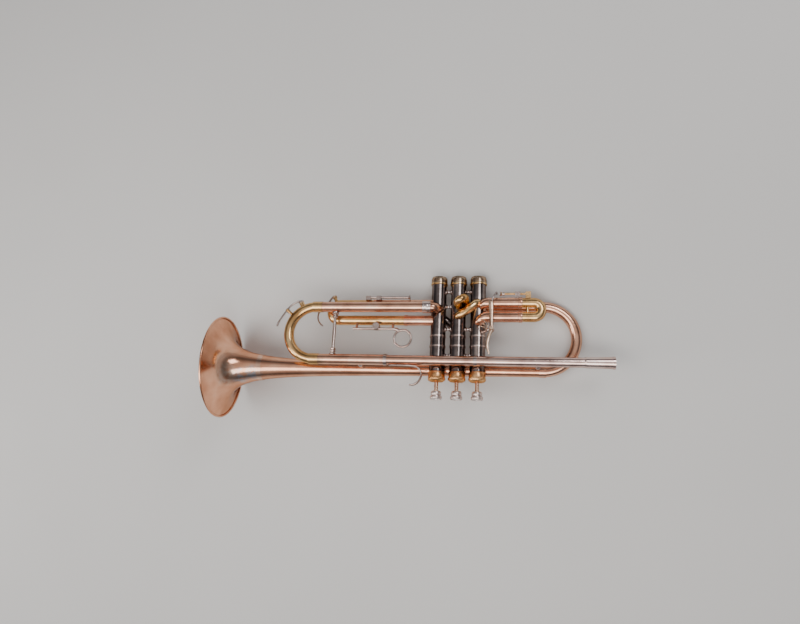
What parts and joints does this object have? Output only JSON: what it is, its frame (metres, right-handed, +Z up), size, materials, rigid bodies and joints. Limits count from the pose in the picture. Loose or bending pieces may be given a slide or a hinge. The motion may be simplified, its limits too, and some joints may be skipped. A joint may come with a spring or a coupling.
{
  "type": "trumpet",
  "caption": "Three-valve brass trumpet lying on its side, with sprung valves, sliding tubes, a thumb trigger and water keys.",
  "frame": {"origin": "centre of the bounding box on the plane the trumpet lies on", "axes": "+X from the bell towards the mouthpiece socket, +Z up from the floor; the trumpet lies on the bell rim, the bell bow and a bottom valve cap, so its own axes are rolled 17.6 degrees about X and then pitched 6.4 degrees about Y"},
  "size_m": [0.4882, 0.179, 0.1276],
  "materials": {
    "rose_brass": "lacquered, worn",
    "yellow_brass": "lacquered",
    "cap_gold": "lacquered",
    "nickel": "polished",
    "silver": "polished",
    "button": "satin",
    "steel": "polished"
  },
  "bodies": {
    "frame": {"bell": "rose_brass", "bell_tail": "rose_brass", "bell_stem": "rose_brass", "bell_rim_wire": "rose_brass", "bell_ring": "rose_brass", "bell_bow": "rose_brass", "bow_ferrules": "silver", "leadpipe": "rose_brass", "mouthpiece_receiver": "rose_brass", "outer_slide_lower": "rose_brass", "outer_slide_upper": "rose_brass", "inlet_elbow": "rose_brass", "valve_casing_1": "nickel", "valve_casing_2": "nickel", "valve_casing_3": "nickel", "trim_rings": "silver", "casing_spacers": "silver", "knuckle_1_2": "yellow_brass", "knuckle_2_3": "yellow_brass", "bottom_cap_1": "rose_brass", "bottom_cap_2": "rose_brass", "bottom_cap_3": "rose_brass", "top_cap_1": "cap_gold", "top_cap_2": "cap_gold", "top_cap_3": "cap_gold", "first_outer": "rose_brass", "second_outer": "yellow_brass", "third_outer": "rose_brass", "bell_braces": "silver", "slide_brace": "silver", "finger_hook": "silver", "first_stop_block": "silver", "third_stop_block": "silver", "trigger_bracket": "silver"},
    "piston_1_body": {"piston_1": "steel", "stem_1": "silver", "button_1": "button"},
    "piston_2_body": {"piston_2": "steel", "stem_2": "silver", "button_2": "button"},
    "piston_3_body": {"piston_3": "steel", "stem_3": "silver", "button_3": "button"},
    "tuning_slide": {"tuning_bow": "yellow_brass", "tuning_tubes": "silver", "tuning_ferrules": "yellow_brass", "water_key_saddle": "yellow_brass"},
    "water_key": {"water_key_lever": "steel"},
    "first_slide": {"first_bow": "yellow_brass", "first_tubes": "silver", "first_stop_rod": "yellow_brass"},
    "thumb_trigger": {"trigger_lever": "silver"},
    "second_slide": {"second_bow": "yellow_brass"},
    "third_slide": {"third_bow": "yellow_brass", "third_tubes": "silver", "third_ring_rail": "silver", "third_stop_rod": "silver", "third_key_saddle": "yellow_brass"},
    "third_key": {"third_key_lever": "steel"}
  },
  "joints": [
    {"name": "valve_1_press", "type": "slide", "parent": "frame", "child": "piston_1_body", "axis": [-0.0335, 0.9534, -0.2999], "range_m": [0, 0.011], "stiffness_N_per_m": 150, "springref_m": -0.014},
    {"name": "valve_2_press", "type": "slide", "parent": "frame", "child": "piston_2_body", "axis": [-0.0335, 0.9534, -0.2999], "range_m": [0, 0.011], "stiffness_N_per_m": 150, "springref_m": -0.014},
    {"name": "valve_3_press", "type": "slide", "parent": "frame", "child": "piston_3_body", "axis": [-0.0335, 0.9534, -0.2999], "range_m": [0, 0.011], "stiffness_N_per_m": 150, "springref_m": -0.014},
    {"name": "main_slide_pull", "type": "slide", "parent": "frame", "child": "tuning_slide", "axis": [-0.9938, 0, 0.1112], "range_m": [0, 0.04]},
    {"name": "water_key_press", "type": "hinge", "parent": "tuning_slide", "child": "water_key", "pos_m": [-0.14328, 0.04644, 0.06388], "axis": [0.106, 0.3018, 0.9475], "range_deg": [0, 12], "stiffness_Nm_per_rad": 0.02, "springref_deg": -22.92},
    {"name": "first_slide_push", "type": "slide", "parent": "frame", "child": "first_slide", "axis": [0.9938, 0, -0.1112], "range_m": [0, 0.012]},
    {"name": "thumb_trigger_turn", "type": "hinge", "parent": "frame", "child": "thumb_trigger", "pos_m": [0.1064, 0.02677, 0.04855], "axis": [-0.106, -0.3018, -0.9475], "range_deg": [0, 16]},
    {"name": "second_slide_pull", "type": "slide", "parent": "frame", "child": "second_slide", "axis": [0.106, 0.3018, 0.9475], "range_m": [0, 0.008]},
    {"name": "third_slide_push", "type": "slide", "parent": "frame", "child": "third_slide", "axis": [-0.9938, 0, 0.1112], "range_m": [0, 0.022]},
    {"name": "third_key_press", "type": "hinge", "parent": "third_slide", "child": "third_key", "pos_m": [-0.10148, 0.05029, 0.0432], "axis": [0.106, 0.3018, 0.9475], "range_deg": [0, 12], "stiffness_Nm_per_rad": 0.02, "springref_deg": -22.92}
  ],
  "couplings": [
    {"joint": "thumb_trigger_turn", "follows": "first_slide_push", "rad_per_m": 21.7}
  ]
}
